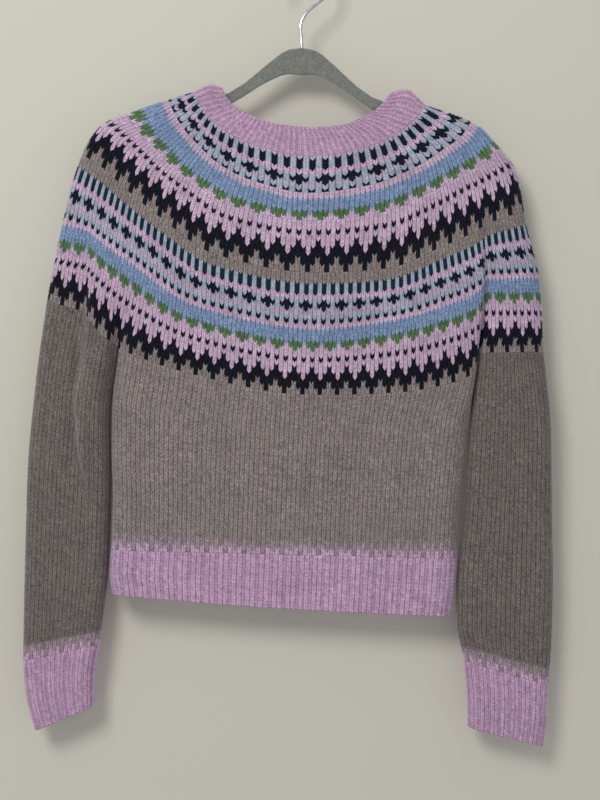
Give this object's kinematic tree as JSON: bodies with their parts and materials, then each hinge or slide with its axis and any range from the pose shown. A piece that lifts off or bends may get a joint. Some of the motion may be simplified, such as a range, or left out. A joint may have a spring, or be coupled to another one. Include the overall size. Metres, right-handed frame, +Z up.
{
  "type": "fair isle yoke cardigan on a hanger",
  "caption": "Knitted cardigan with a round patterned yoke, ribbed edges and a buttoned front, hung flat on a velvet hanger.",
  "frame": {"origin": "inside top of the hanger's hook, where a rail or peg carries it", "axes": "+Z up along the hanger's hook, -Y out of the patterned back, +Y out of the buttoned fronts, +X to the right as seen from the back"},
  "size_m": [0.5719, 0.0513, 0.847],
  "materials": {
    "pattern": "stranded wool knit in pink, blue, green, navy and taupe bands, slightly brushed",
    "taupe": "heathered wool stockinette, slightly brushed",
    "pink_rib": "ribbed mauve-pink heathered wool",
    "button": "polished, slightly dished",
    "velvet": "short grey-green flocking",
    "hook_steel": "bright plated wire"
  },
  "bodies": {
    "root": {"yoke": "pattern", "neckband": "pink_rib", "body": "taupe", "sleeve_left": "taupe", "sleeve_right": "taupe", "hem_rib": "pink_rib", "cuff_left": "pink_rib", "cuff_right": "pink_rib", "button_band": "pink_rib", "buttonhole_band": "pink_rib", "button_1": "button", "button_2": "button", "button_3": "button", "button_4": "button", "button_5": "button", "button_6": "button", "button_7": "button", "hanger_body": "velvet", "hanger_hook": "hook_steel"}
  },
  "joints": []
}
